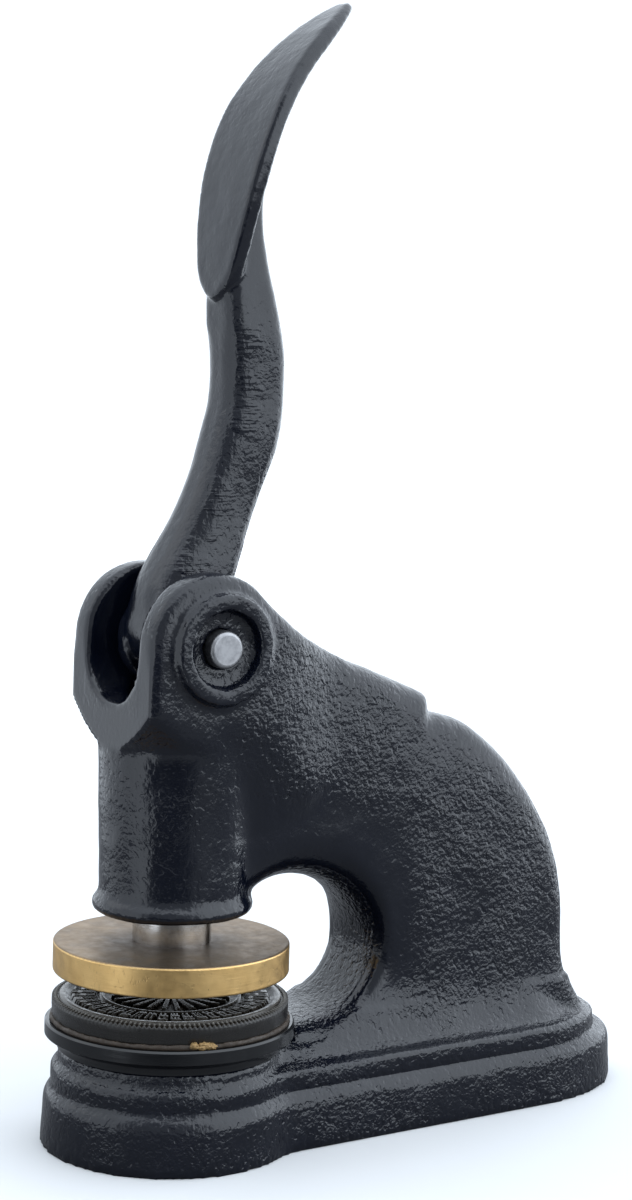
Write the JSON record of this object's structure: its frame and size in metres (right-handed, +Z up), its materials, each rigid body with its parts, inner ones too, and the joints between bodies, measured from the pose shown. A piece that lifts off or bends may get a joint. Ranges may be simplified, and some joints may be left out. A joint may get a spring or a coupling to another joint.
{
  "type": "desk seal press",
  "caption": "Cast-iron desk seal press: a hand lever turns a cam that pushes a sprung ram, closing a round brass upper die on an engraved lower die to emboss paper.",
  "frame": {"origin": "middle of the base's footprint, on the table", "axes": "+Z up, +Y from the dies towards the back of the press, +X to the right of someone who faces the dies from the front"},
  "size_m": [0.055, 0.148, 0.245],
  "materials": {
    "enamel": "gloss",
    "black_steel": "satin",
    "die_steel": "satin",
    "shim": "matte",
    "brass": "satin",
    "bright_steel": "polished",
    "plain_steel": "satin"
  },
  "bodies": {
    "frame": {"frame": "enamel", "bed_plate": "black_steel", "bed_dowels": "plain_steel", "bed_screw": "plain_steel", "bed_washer": "plain_steel", "die_shim": "shim", "lower_die": "die_steel", "spring_seat": "plain_steel", "guide_screw": "plain_steel", "pivot_pin": "bright_steel", "hub_washers": "plain_steel"},
    "ram": {"ram": "bright_steel", "upper_die": "brass", "upper_die_screw": "plain_steel", "return_spring": "plain_steel"},
    "lever": {"lever": "enamel"}
  },
  "joints": [
    {"name": "lever_pivot", "type": "hinge", "parent": "frame", "child": "lever", "pos_m": [0, -0.0465, 0.1089], "axis": [1, 0, 0], "range_deg": [0, 85]},
    {"name": "ram_slide", "type": "slide", "parent": "frame", "child": "ram", "axis": [0, 0, -1], "range_m": [0, 0.0049], "stiffness_N_per_m": 2000, "springref_m": -0.005, "deforming": ["return_spring"]}
  ],
  "couplings": [
    {"joint": "ram_slide", "follows": "lever_pivot", "m_per_rad": 0.0033029}
  ]
}
